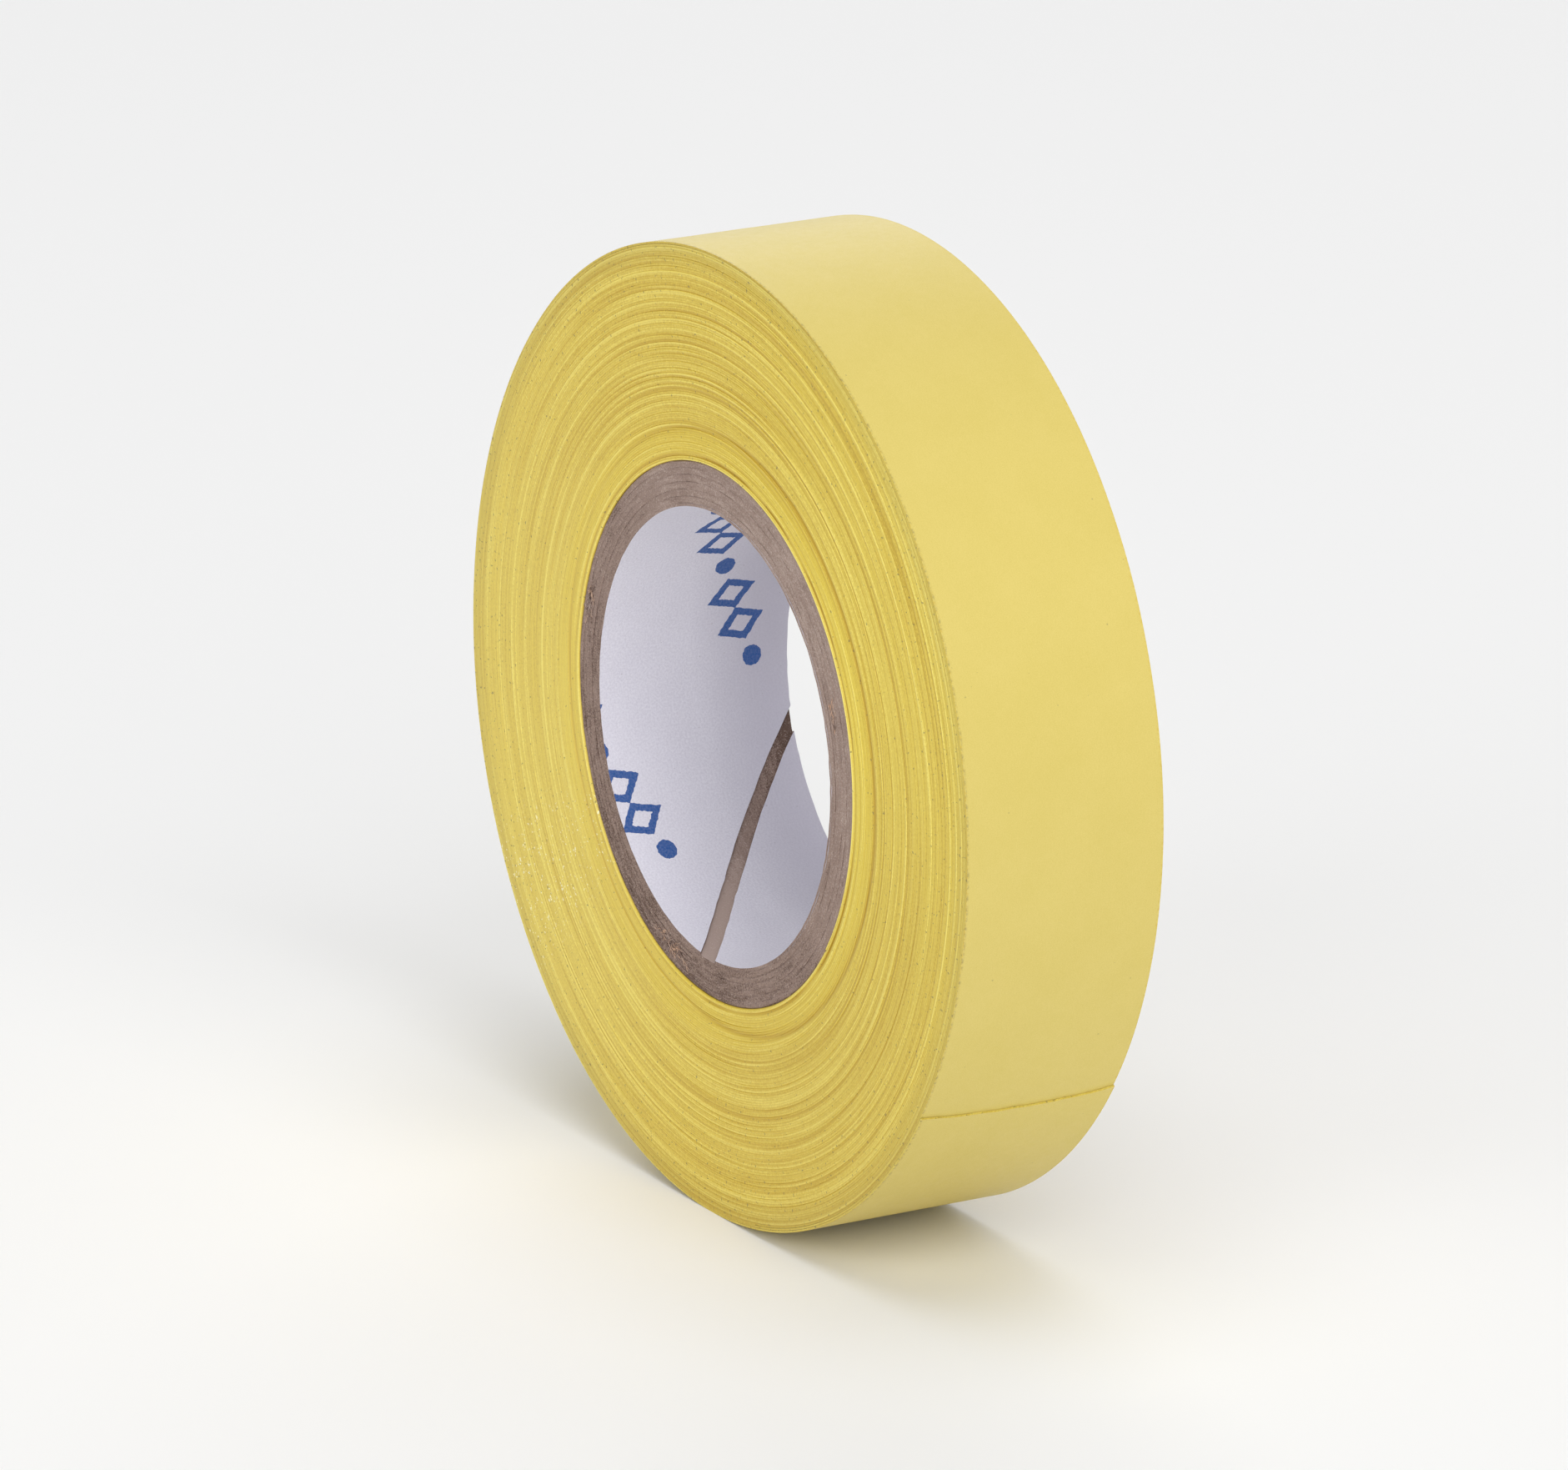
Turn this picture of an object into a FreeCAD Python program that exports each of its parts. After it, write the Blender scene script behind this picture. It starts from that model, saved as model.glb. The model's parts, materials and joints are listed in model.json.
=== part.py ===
import FreeCAD, Part

import math
import os

# A roll of flat-paper masking tape, standing upright on its tread.
# The roll's axis is the Y axis, the origin is the centre of the bore, and +Z is up.
# Angles are measured in the XZ plane from +X towards +Z. All lengths are in millimetres.

# Driving dimensions
BORE_RADIUS = 12.70  # a one-inch core
CORE_RADIUS = 15.06
ROLL_RADIUS = 27.28  # axis to the outer surface at the tape's cut end
TAPE_WIDTH = 12.15
TAPE_THICKNESS = 0.13
CORE_RECESS = 0.075  # how far each end of the core sits inside the tape's side
LINER_THICKNESS = 0.16
PLY_COUNT = 6
LIFT_GAP = 0.02  # free space between the end of the tape and what it lies on

# The end of the tape: the last stretch of the outer turn, which peels off
END_ANGLE = -35.0  # where the cut edge lies
END_SEGMENTS = 6
SEGMENT_ANGLE = 6.0
SEGMENT_GAP = 0.02

# The core's strips are wound as helices whose edges leave a butt gap
LINER_GAP_WIDTH = 1.43  # round the bore, between the liner's two edges
LINER_GAP_ANGLE = -127.7  # the middle of the gap, half way along the bore
PLY_GAP_WIDTH = 0.12
PLY_GAP_STAGGER = 137.5  # turn from one ply's gap to the next
HELIX_LEAD = 61.5  # a strip's advance along the axis in one turn
CUT_MARGIN = 0.5  # how far a cutting tool stands past what it cuts

CORE_WIDTH = TAPE_WIDTH - 2 * CORE_RECESS
PLY_THICKNESS = (CORE_RADIUS - BORE_RADIUS - LINER_THICKNESS) / PLY_COUNT
ROOT_ANGLE = END_ANGLE - END_SEGMENTS * SEGMENT_ANGLE  # where the end of the tape starts
QUARTER = 90.0
QUARTERS = 4
TURN = QUARTER * QUARTERS
STEP_PER_QUARTER = TAPE_THICKNESS / QUARTERS
AXIS = FreeCAD.Vector(0, 1, 0)
ORIGIN = FreeCAD.Vector(0, 0, 0)
X_AXIS = FreeCAD.Vector(1, 0, 0)


def radial(angle):
    """The unit vector that points away from the axis at an angle in degrees."""
    turn = math.radians(angle)
    return FreeCAD.Vector(math.cos(turn), 0, math.sin(turn))


def tube(inner_radius, outer_radius, width):
    """A plain ring round the Y axis, centred on the origin."""
    base = FreeCAD.Vector(0, -width / 2, 0)
    outer = Part.makeCylinder(outer_radius, width, base, AXIS)
    inner = Part.makeCylinder(inner_radius, width, base, AXIS)
    return outer.cut(inner)


def helical_cutter(inner_radius, outer_radius, gap_width, middle_angle):
    """The space between the edges of a strip wound on a core, a little larger than the core's wall."""
    length = CORE_WIDTH + 2 * CUT_MARGIN
    low = inner_radius - CUT_MARGIN
    high = outer_radius + CUT_MARGIN
    # The helix is made along +Z from +X, and is then laid along +Y.
    path = Part.Wire(Part.makeHelix(HELIX_LEAD, length, inner_radius).Edges)
    corners = [
        FreeCAD.Vector(low, -gap_width / 2, 0),
        FreeCAD.Vector(high, -gap_width / 2, 0),
        FreeCAD.Vector(high, gap_width / 2, 0),
        FreeCAD.Vector(low, gap_width / 2, 0),
    ]
    section = Part.makePolygon(corners + corners[:1])
    cutter = path.makePipeShell([section], True, True)
    cutter.rotate(ORIGIN, X_AXIS, -QUARTER)
    cutter.translate(FreeCAD.Vector(0, -length / 2, 0))
    # Seen along +Y the helix now runs to lower angles, and starts from an angle of zero.
    half_sweep = TURN * length / HELIX_LEAD / 2
    cutter.rotate(ORIGIN, AXIS, -(middle_angle + half_sweep))
    return cutter


def wound_strip(inner_radius, thickness, gap_width, gap_angle):
    """One layer of the core: a tube with the helical gap between its strip's edges."""
    outer_radius = inner_radius + thickness
    ring = tube(inner_radius, outer_radius, CORE_WIDTH)
    return ring.cut(helical_cutter(inner_radius, outer_radius, gap_width, gap_angle))


def core_layers():
    """The white liner, and the kraft plies from the bore outwards."""
    layers = {
        "core_liner": wound_strip(
            BORE_RADIUS, LINER_THICKNESS, LINER_GAP_WIDTH, LINER_GAP_ANGLE
        )
    }
    for index in range(PLY_COUNT):
        inner_radius = BORE_RADIUS + LINER_THICKNESS + index * PLY_THICKNESS
        gap_angle = LINER_GAP_ANGLE + (index + 1) * PLY_GAP_STAGGER
        name = f"core_ply_{index + 1}"
        layers[name] = wound_strip(inner_radius, PLY_THICKNESS, PLY_GAP_WIDTH, gap_angle)
    return layers


def outer_quarters():
    """The outer turn as four quarter arcs that join smoothly and gain one tape thickness.

    Each is (centre, radius, start angle). The first starts at the cut end, one thickness lower.
    """
    centre = ORIGIN
    radius = ROLL_RADIUS - TAPE_THICKNESS
    quarters = []
    for index in range(QUARTERS):
        start = END_ANGLE + index * QUARTER
        quarters.append((centre, radius, start))
        centre = centre - radial(start + QUARTER) * STEP_PER_QUARTER
        radius += STEP_PER_QUARTER
    return quarters


def arc(centre, radius, start, end):
    """An arc in the XZ plane, from one angle to another."""
    points = [centre + radial(angle) * radius for angle in (start, (start + end) / 2, end)]
    return Part.Arc(*points).toShape()


def radial_line(centre, from_radius, to_radius, angle):
    """A straight edge that points at an arc's centre."""
    outward = radial(angle)
    return Part.LineSegment(centre + outward * from_radius, centre + outward * to_radius).toShape()


def extrude(edges):
    """A closed outline in the XZ plane made as wide as the tape."""
    face = Part.Face(Part.Wire(edges))
    face.translate(FreeCAD.Vector(0, -TAPE_WIDTH / 2, 0))
    return face.extrude(AXIS * TAPE_WIDTH)


def tape_pack():
    """All the wound turns, less the end of the tape, which lies in a step of its own depth."""
    quarters = outer_quarters()
    last_centre, last_radius, last_start = quarters[-1]
    under_radius = last_radius - TAPE_THICKNESS
    edges = [
        arc(centre, radius, start, start + QUARTER)
        for centre, radius, start in quarters[:-1]
    ]
    edges.append(arc(last_centre, last_radius, last_start, ROOT_ANGLE + TURN))
    edges.append(radial_line(last_centre, last_radius, under_radius, ROOT_ANGLE))
    edges.append(arc(last_centre, under_radius, ROOT_ANGLE, END_ANGLE))
    turns = extrude(edges)
    bore = Part.makeCylinder(
        CORE_RADIUS, TAPE_WIDTH, FreeCAD.Vector(0, -TAPE_WIDTH / 2, 0), AXIS
    )
    return turns.cut(bore)


def end_segment(index):
    """One stretch of the tape's end. Its hinge is its outer edge on the side of the roll."""
    centre, radius, _ = outer_quarters()[-1]
    start = ROOT_ANGLE + index * SEGMENT_ANGLE + math.degrees(SEGMENT_GAP / radius)
    end = ROOT_ANGLE + (index + 1) * SEGMENT_ANGLE
    under_radius = radius - TAPE_THICKNESS + LIFT_GAP
    edges = [
        arc(centre, radius, start, end),
        radial_line(centre, radius, under_radius, end),
        arc(centre, under_radius, end, start),
        radial_line(centre, under_radius, radius, start),
    ]
    return extrude(edges)


def main():
    parts = core_layers()
    parts["tape_pack"] = tape_pack()
    for index in range(END_SEGMENTS):
        parts[f"tape_end_{index + 1}"] = end_segment(index)
    os.makedirs("parts", exist_ok=True)
    for name, shape in parts.items():
        shape.exportStep(f"parts/{name}.step")
        print(name, shape.isValid(), len(shape.Solids), round(shape.Volume, 3))


main()
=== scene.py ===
import json
import math

import bpy
import numpy as np
from mathutils import Matrix, Vector


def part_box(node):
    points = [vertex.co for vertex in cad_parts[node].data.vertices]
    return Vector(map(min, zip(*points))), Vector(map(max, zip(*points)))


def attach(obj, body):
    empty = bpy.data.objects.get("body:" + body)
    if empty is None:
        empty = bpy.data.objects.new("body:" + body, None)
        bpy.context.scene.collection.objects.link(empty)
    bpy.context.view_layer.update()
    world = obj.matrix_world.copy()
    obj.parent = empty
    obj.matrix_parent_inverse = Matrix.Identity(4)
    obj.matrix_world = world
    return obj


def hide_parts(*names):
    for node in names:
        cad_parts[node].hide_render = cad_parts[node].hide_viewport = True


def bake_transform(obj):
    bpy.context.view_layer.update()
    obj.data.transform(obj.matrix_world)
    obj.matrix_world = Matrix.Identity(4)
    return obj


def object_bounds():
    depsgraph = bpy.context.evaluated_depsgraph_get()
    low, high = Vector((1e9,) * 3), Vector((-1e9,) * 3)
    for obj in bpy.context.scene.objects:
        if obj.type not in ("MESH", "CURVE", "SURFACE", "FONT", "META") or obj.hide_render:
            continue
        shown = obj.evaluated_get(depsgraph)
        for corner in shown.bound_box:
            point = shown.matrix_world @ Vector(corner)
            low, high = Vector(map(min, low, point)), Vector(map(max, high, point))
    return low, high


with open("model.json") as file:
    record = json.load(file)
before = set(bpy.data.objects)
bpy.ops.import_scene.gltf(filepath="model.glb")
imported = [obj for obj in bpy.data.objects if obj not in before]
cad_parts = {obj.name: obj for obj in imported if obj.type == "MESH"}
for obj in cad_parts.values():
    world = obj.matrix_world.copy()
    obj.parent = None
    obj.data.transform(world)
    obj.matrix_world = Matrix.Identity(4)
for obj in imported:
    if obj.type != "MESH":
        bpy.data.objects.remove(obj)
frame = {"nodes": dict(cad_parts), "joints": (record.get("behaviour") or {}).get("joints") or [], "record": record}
cad_low, cad_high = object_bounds()

# A roll of paper tape. Its axis is the Y axis, the origin is the centre of the bore and +Z is up.
# Shapes are worked out in millimetres and degrees, and MM turns them into metres.
# Angles are measured in the XZ plane from +X towards +Z. The near side of the roll faces -Y.

MM = 0.001
TURN = 360.0

# Sizes from the frame
mounts = {mount["name"]: mount for mount in frame["record"]["mounts"]}
BORE_RADIUS = mounts["core_bore"]["dims"]["r_mm"]
HALF_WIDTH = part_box("tape_pack")[1].y / MM
CORE_HALF_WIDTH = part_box("core_liner")[1].y / MM
FLOOR_HEIGHT = cad_low.z
plies = sorted(name for name in frame["nodes"] if name.startswith("core_ply_"))
peel_bodies = [joint["child"] for joint in frame["joints"]]

# The core and the tape, as the design has them
CORE_RADIUS = 15.06
ROLL_RADIUS = 27.28
TAPE_THICKNESS = 0.13
LINER_THICKNESS = 0.16
PLY_THICKNESS = (CORE_RADIUS - BORE_RADIUS - LINER_THICKNESS) / len(plies)
CUT_ANGLE = -35.0
PEEL_STEP = 6.0
HELIX_LEAD = 61.5
LINER_GAP_ANGLE = -127.7  # the middle of the gap, half way along the bore
PLY_GAP_WIDTH = 0.02
PLY_GAP_STAGGER = 137.5
CORE_SHIFT = 0.22  # how far the core's outside lies off the roll's centre, and which way
CORE_SHIFT_ANGLE = 55.0
SEAT = 0.005  # free space between pieces that lie on each other

# The wound turns are followed by a running angle: the cut end is at one full turn,
# and each turn further in is 360 degrees less.
CUT_AT = TURN
ROOT_AT = CUT_AT - PEEL_STEP * len(peel_bodies)
HALF_STEP = PEEL_STEP / 2
STRIP_FROM = ROOT_AT - HALF_STEP - TURN - PEEL_STEP  # the outer turn starts under its own end

# Fineness of the meshes
STEPS_PER_TURN = 400
STRIP_STEP = 0.75  # degrees between stations of the outer turn
PEEL_STATION = 0.5  # and of the end that peels
CREST_SHARES = (0.02, 0.30, 0.80)  # the rows of one turn's edge, through its thickness
INNERMOST_RELIEF = (0.07, -0.02, -0.02)  # the first turn stands out, past a crevice at the core


# ---------------------------------------------------------------- smooth random fields

def ease(share):
    return share * share * (3 - 2 * share)


def field(seed, rows, columns=1):
    """A smooth random surface over a lattice, repeating past the lattice's edges."""
    knots = np.random.default_rng(seed).normal(size=(rows, columns))

    def at(row, column=0.0):
        row, column = np.broadcast_arrays(np.asarray(row, float), np.asarray(column, float))
        low_row, low_column = np.floor(row).astype(int), np.floor(column).astype(int)
        across, along = ease(row - low_row), ease(column - low_column)
        a = knots[low_row % rows, low_column % columns]
        b = knots[(low_row + 1) % rows, low_column % columns]
        c = knots[low_row % rows, (low_column + 1) % columns]
        d = knots[(low_row + 1) % rows, (low_column + 1) % columns]
        return (a * (1 - across) + b * across) * (1 - along) + (c * (1 - across) + d * across) * along

    return at


def step_between(value, low, high):
    """0 below low, 1 above high, and a smooth rise between."""
    return ease(np.clip((value - low) / (high - low), 0, 1))


# ---------------------------------------------------------------- the spiral

def radial(angle):
    return np.array([math.cos(math.radians(angle)), math.sin(math.radians(angle))])


def outer_quarters():
    """The outer turn's four arcs, which join smoothly and gain one thickness."""
    quarter = TURN / 4
    gain = TAPE_THICKNESS / 4
    centre = np.zeros(2)
    radius = ROLL_RADIUS - TAPE_THICKNESS
    arcs = []
    for index in range(4):
        arcs.append((centre, radius))
        centre = centre - radial(CUT_ANGLE + (index + 1) * quarter) * gain
        radius += gain
    return arcs


ARC_CENTRES = np.array([arc[0] for arc in outer_quarters()])
ARC_RADII = np.array([arc[1] for arc in outer_quarters()])


def place_angle(running):
    """The angle round the roll of a place on the tape."""
    return CUT_ANGLE + running


def turn_radius(running):
    """From the axis to the tape's outer surface at a running angle."""
    turns = np.floor(running / TURN)
    within = running - turns * TURN
    arc = np.minimum((within // (TURN / 4)).astype(int), 3)
    angle = np.radians(CUT_ANGLE + within)
    shift = ARC_CENTRES[arc, 0] * np.cos(angle) + ARC_CENTRES[arc, 1] * np.sin(angle)
    return ARC_RADII[arc] + shift + turns * TAPE_THICKNESS


def running_angle_at(radius):
    """The running angle whose turn has about this outer radius."""
    return (radius - (ROLL_RADIUS - TAPE_THICKNESS)) / TAPE_THICKNESS * TURN


def off_centre(radius, angle):
    """The core is wound in a little off centre, so the turns next to it shift with it."""
    inside = step_between(radius, BORE_RADIUS + LINER_THICKNESS, CORE_RADIUS)
    outside = 1 - step_between(radius, CORE_RADIUS, 21.0)
    return radius + CORE_SHIFT * inside * outside * np.cos(np.radians(angle - CORE_SHIFT_ANGLE))


def cylinder_points(radius, angle, y):
    radius = off_centre(radius, angle)
    angle = np.radians(angle)
    return np.stack(np.broadcast_arrays(radius * np.cos(angle), y, radius * np.sin(angle)), axis=-1)


# ---------------------------------------------------------------- meshes

def make_piece(name, points, faces, materials, face_materials=None, attributes=None, sharp=50.0):
    mesh = bpy.data.meshes.new(name)
    mesh.from_pydata((points.reshape(-1, 3) * MM).tolist(), [], faces)
    for material in materials:
        mesh.materials.append(material)
    if face_materials is not None:
        mesh.polygons.foreach_set("material_index", face_materials)
    for key, values in (attributes or {}).items():
        kind = "FLOAT_VECTOR" if values.ndim == 2 else "FLOAT"
        made = mesh.attributes.new(key, kind, "POINT")
        made.data.foreach_set("vector" if values.ndim == 2 else "value", values.astype(np.float32).ravel())
    mesh.shade_smooth()
    mesh.set_sharp_from_angle(angle=math.radians(sharp))
    piece = bpy.data.objects.new(name, mesh)
    bpy.context.scene.collection.objects.link(piece)
    return piece


def sheet_ring(across, rim):
    """The cross-section of a wound sheet, as shares of its width and of its thickness.

    It runs over the outer surface from the near side to the far side, down the far edge,
    back under the inner surface and up the near edge.
    """
    width = np.linspace(0, 1, across + 1)
    depth = np.arange(1, rim + 1) / (rim + 1)
    widths = np.concatenate([width, np.ones(rim), width[::-1], np.zeros(rim)])
    depths = np.concatenate([np.ones(across + 1), depth[::-1], np.zeros(across + 1), depth])
    return widths, depths


def sheet_faces(stations, across, rim):
    """Quads round every pair of stations and both end caps, with a part number for each face.

    The parts are 0 the outer surface, 1 the edges and the cut ends, and 2 the inner surface.
    """
    count = 2 * (across + 1) + 2 * rim
    ring = np.arange(count)
    after = (ring + 1) % count
    base = (np.arange(stations - 1) * count)[:, None]
    quads = np.stack([base + ring, base + after, base + count + after, base + count + ring], axis=-1)
    inner_start = across + 1 + rim
    part = np.ones(count, int)
    part[:across] = 0
    part[inner_start:inner_start + across] = 2
    faces = quads.reshape(-1, 4).tolist()
    parts = np.tile(part, stations - 1).tolist()
    outer = list(range(across + 1))
    far = list(range(across + 1, inner_start))
    inner = list(range(inner_start, inner_start + across + 1))[::-1]
    near = list(range(inner_start + across + 1, count))
    cap = []
    for j in range(across):
        face = [outer[j], outer[j + 1], inner[j + 1], inner[j]]
        if j == 0:
            face = face + near
        if j == across - 1:
            face = [outer[j], outer[j + 1]] + far + [inner[j + 1], inner[j]]
        cap.append(face)
    last = (stations - 1) * count
    faces += [[index + last for index in face] for face in cap]
    faces += [face[::-1] for face in cap]
    parts += [1] * (2 * len(cap))
    return faces, parts


def sheet_points(near, far, across, rim, angle_at, inner_radius, outer_radius, lift=None):
    """The points of a wound sheet.

    near and far hold the y of each edge, one row for each station, from the inner corner to the
    outer one. angle_at(y) gives the angles, one row for each station.
    """
    widths, depths = sheet_ring(across, rim)
    row = np.rint(depths * (rim + 1)).astype(int)
    y = near[:, row] * (1 - widths) + far[:, row] * widths
    angle = np.broadcast_to(angle_at(y), y.shape)
    radius = inner_radius + (outer_radius - inner_radius) * depths
    if lift is not None:
        radius = radius + lift(angle, y) * (depths == 1)
    return cylinder_points(radius, angle, y), angle, y, np.broadcast_to(depths, y.shape)


# ---------------------------------------------------------------- materials

def rgb(red, green, blue):
    """A colour given as it looks on a screen, in the light values that shaders use."""
    def light(value):
        value /= 255
        return value / 12.92 if value <= 0.04045 else ((value + 0.055) / 1.055) ** 2.4

    return (light(red), light(green), light(blue), 1.0)


def add(tree, kind, inputs=None, **settings):
    node = tree.nodes.new("ShaderNode" + kind)
    for key, value in settings.items():
        setattr(node, key, value)
    for key, value in (inputs or {}).items():
        if isinstance(value, bpy.types.NodeSocket):
            tree.links.new(value, node.inputs[key])
        else:
            node.inputs[key].default_value = value
    return node


def calc(tree, operation, a, b=0.0, clamp=False):
    return add(tree, "Math", {0: a, 1: b}, operation=operation, use_clamp=clamp).outputs[0]


def plus(tree, a, b, clamp=False):
    return calc(tree, "ADD", a, b, clamp)


def minus(tree, a, b):
    return calc(tree, "SUBTRACT", a, b)


def times(tree, a, b, clamp=False):
    return calc(tree, "MULTIPLY", a, b, clamp)


def weighted(tree, *pairs):
    """The sum of values that each come with a weight."""
    total = times(tree, *pairs[0])
    for value, weight in pairs[1:]:
        total = plus(tree, total, times(tree, value, weight))
    return total


def mix(tree, factor, a, b):
    node = add(tree, "Mix", {0: factor, 6: a, 7: b}, data_type="RGBA")
    return node.outputs[2]


def tint(tree, colour, towards, amount, strength):
    """Moves a colour towards another, by an amount that varies over the surface."""
    return mix(tree, times(tree, amount, strength), colour, towards)


def noise(tree, vector, scale, detail=2.0, roughness=0.5):
    settings = {"Vector": vector, "Scale": scale, "Detail": detail, "Roughness": roughness}
    return add(tree, "TexNoise", settings).outputs["Fac"]


def between(tree, value, low, high):
    """0 where value is low, 1 where it is high."""
    settings = {"Value": value, "From Min": low, "From Max": high}
    return add(tree, "MapRange", settings, interpolation_type="SMOOTHSTEP").outputs["Result"]


def attribute(tree, name, output="Fac"):
    return add(tree, "Attribute", attribute_name=name).outputs[output]


def stretched(tree, vector, x, y, z):
    return add(tree, "VectorMath", {0: vector, 1: (x, y, z)}, operation="MULTIPLY").outputs[0]


def polar(tree):
    """The outward direction of a place round the axis, its distance from it and its y, in metres."""
    place = add(tree, "TexCoord").outputs["Object"]
    flat = stretched(tree, place, 1.0, 0.0, 1.0)
    unit = add(tree, "VectorMath", {0: flat}, operation="NORMALIZE").outputs[0]
    radius = add(tree, "VectorMath", {0: flat}, operation="LENGTH").outputs["Value"]
    return unit, radius, add(tree, "SeparateXYZ", {0: place}).outputs["Y"]


def round_axis(tree, along, across):
    """Coordinates for grain that follows the turns: slow round the axis, quick across the turns."""
    unit, radius, y = polar(tree)
    unit = add(tree, "VectorMath", {0: unit, "Scale": along}, operation="SCALE").outputs[0]
    parts = add(tree, "SeparateXYZ", {0: unit}).outputs
    reach = calc(tree, "MULTIPLY", calc(tree, "ADD", radius, y), across)
    return add(tree, "CombineXYZ", {"X": parts["X"], "Y": parts["Z"], "Z": reach}).outputs[0]


def facing(tree, angle):
    """1 on the side of the roll that lies at an angle, -1 on the opposite side."""
    unit = polar(tree)[0]
    cosine, sine = radial(angle)
    settings = {0: unit, 1: (cosine, 0.0, sine)}
    return add(tree, "VectorMath", settings, operation="DOT_PRODUCT").outputs["Value"]


def start_material(name, roughness):
    material = bpy.data.materials.new(name)
    material.use_nodes = True
    tree = material.node_tree
    shader = tree.nodes["Principled BSDF"]
    shader.inputs["Roughness"].default_value = roughness
    return material, tree, shader


def bump(tree, shader, height, distance, strength=1.0):
    node = add(tree, "Bump", {"Height": height, "Distance": distance, "Strength": strength})
    tree.links.new(node.outputs["Normal"], shader.inputs["Normal"])


# Colours, as they look on a screen
LEMON = rgb(250, 233, 118)
YELLOW = rgb(228, 204, 84)
OCHRE = rgb(204, 172, 54)
# Painted shadow colour for the hollows between the turns' edges
CREVICE_SHADOW = rgb(180, 140, 34)
BRIGHT = rgb(238, 215, 78)
TREAD = rgb(220, 200, 111)
TREAD_DEEP = rgb(211, 191, 95)
# GLUE is the adhesive's colour, and also the colour of the painted sheen on the turns' edges
GLUE = rgb(234, 216, 140)
DIRT = rgb(112, 96, 64)
KRAFT = rgb(148, 127, 117)
KRAFT_LIGHT = rgb(176, 156, 146)
KRAFT_PALE = rgb(206, 190, 180)
KRAFT_DARK = rgb(100, 80, 71)
FIBRE = rgb(212, 174, 146)
GLINT = rgb(255, 252, 214)
PAPER = rgb(230, 228, 237)
PAPER_SHADE = rgb(212, 209, 220)
# Painted shade colour for the liner deep in the bore
PAPER_IN_SHADE = rgb(176, 172, 187)
INK = rgb(36, 82, 150)

# Where the side of the tape differs, as angles round the roll
UPRIGHT_ANGLE = 105.0  # here and opposite, the turns' edges are deeper in tone and rougher
SHEEN_ANGLE = -165.0  # the palest part, a painted sheen
GLINT_ANGLE = -146.0  # painted glints of light lie here
GRIME_ANGLE = -38.0  # has picked up the most dust

# How strongly each thing shows over the paper's own colour
STREAK_STRENGTH = 0.19
INNER_GLOW = 0.45
LINE_STRENGTH = 0.35
HOLLOW_SHADE_STRENGTH = 0.30
UPRIGHT_STRENGTH = 0.30
SHEEN_STRENGTH = 0.16
HANDLED_STRENGTH = 0.16
GRIME_STRENGTH = 0.13
DIRT_STRENGTH = 0.6
GLINT_STRENGTH = 0.8
SPECK_STRENGTH = 0.35


def edge_noises(tree):
    """Fine and broad lines along the turns, how far the lines reach, and the paper's grain."""
    place = add(tree, "TexCoord").outputs["Object"]
    fine = noise(tree, round_axis(tree, 1.7, 9000.0), scale=1.0, detail=2.0, roughness=0.6)
    broad = noise(tree, round_axis(tree, 1.2, 3200.0), scale=1.0, detail=2.0, roughness=0.6)
    reach = noise(tree, round_axis(tree, 2.0, 500.0), scale=1.0, detail=2.0)
    grain = noise(tree, place, scale=8000.0, detail=3.0, roughness=0.65)
    return fine, broad, reach, grain


def edge_paper(tree, fine, broad, reach, grain):
    """The colour of the cut paper: deep, plain and pale turns, with fine lines among them, and painted shade in
    the hollows between their rows.
    """
    upright = calc(tree, "POWER", calc(tree, "ABSOLUTE", facing(tree, UPRIGHT_ANGLE)), 2.0)
    rough = plus(tree, upright, 1.5)
    tone = times(tree, attribute(tree, "streak"), STREAK_STRENGTH)
    for source, amount in ((fine, rough), (broad, 0.22), (reach, 0.3), (grain, rough)):
        tone = plus(tree, tone, times(tree, minus(tree, source, 0.5), amount))
    low = mix(tree, between(tree, tone, -0.70, 0.05), OCHRE, YELLOW)
    low = tint(tree, low, BRIGHT, attribute(tree, "inner"), INNER_GLOW)
    colour = mix(tree, between(tree, tone, 0.05, 0.75), low, LEMON)
    active = between(tree, reach, 0.38, 0.60)
    pale_line = times(tree, between(tree, fine, 0.60, 0.70), active)
    colour = tint(tree, colour, LEMON, pale_line, LINE_STRENGTH)
    dark_line = times(tree, between(tree, fine, 0.38, 0.30), active)
    colour = tint(tree, colour, OCHRE, dark_line, LINE_STRENGTH)
    # Painted shade darkens the hollows and grooves of the turns' edges.
    hollow_shade = minus(tree, 1.0, attribute(tree, "crest"))
    colour = mix(tree, times(tree, hollow_shade, HOLLOW_SHADE_STRENGTH, clamp=True), colour, CREVICE_SHADOW)
    return tint(tree, colour, OCHRE, upright, UPRIGHT_STRENGTH)


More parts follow.
